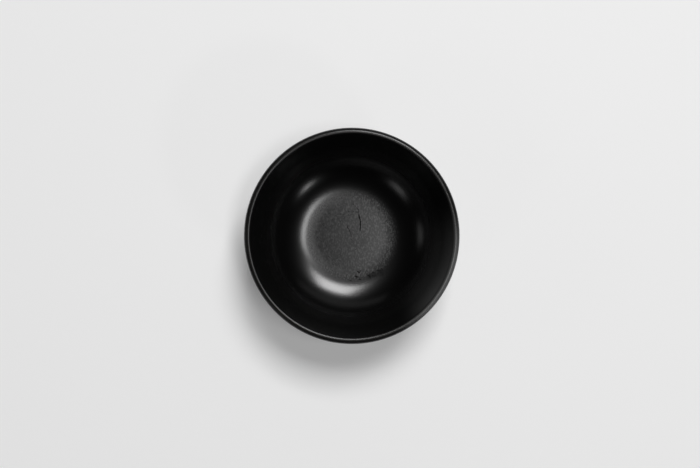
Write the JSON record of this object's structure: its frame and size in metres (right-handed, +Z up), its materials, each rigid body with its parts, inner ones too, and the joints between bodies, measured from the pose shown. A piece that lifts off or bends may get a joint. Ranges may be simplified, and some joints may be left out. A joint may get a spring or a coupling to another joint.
{
  "type": "round serving bowl",
  "caption": "Deep round bowl with steep, slightly flared sides, a rounded lip, a flat floor in a wide cove and a bare foot ring, for serving food.",
  "frame": {"origin": "on the surface that the bowl stands on, at the centre of the foot ring", "axes": "+Z up along the bowl's axis of revolution, towards the open mouth; X and Y are alike"},
  "size_m": [0.15, 0.15, 0.06],
  "materials": {
    "bare_clay": "matte",
    "satin_black_glaze": "satin",
    "matte_black_glaze": "satin"
  },
  "bodies": {
    "root": {"clay_body": "bare_clay", "inside_glaze": "satin_black_glaze", "outside_glaze": "matte_black_glaze", "base_glaze": "matte_black_glaze"}
  },
  "joints": []
}
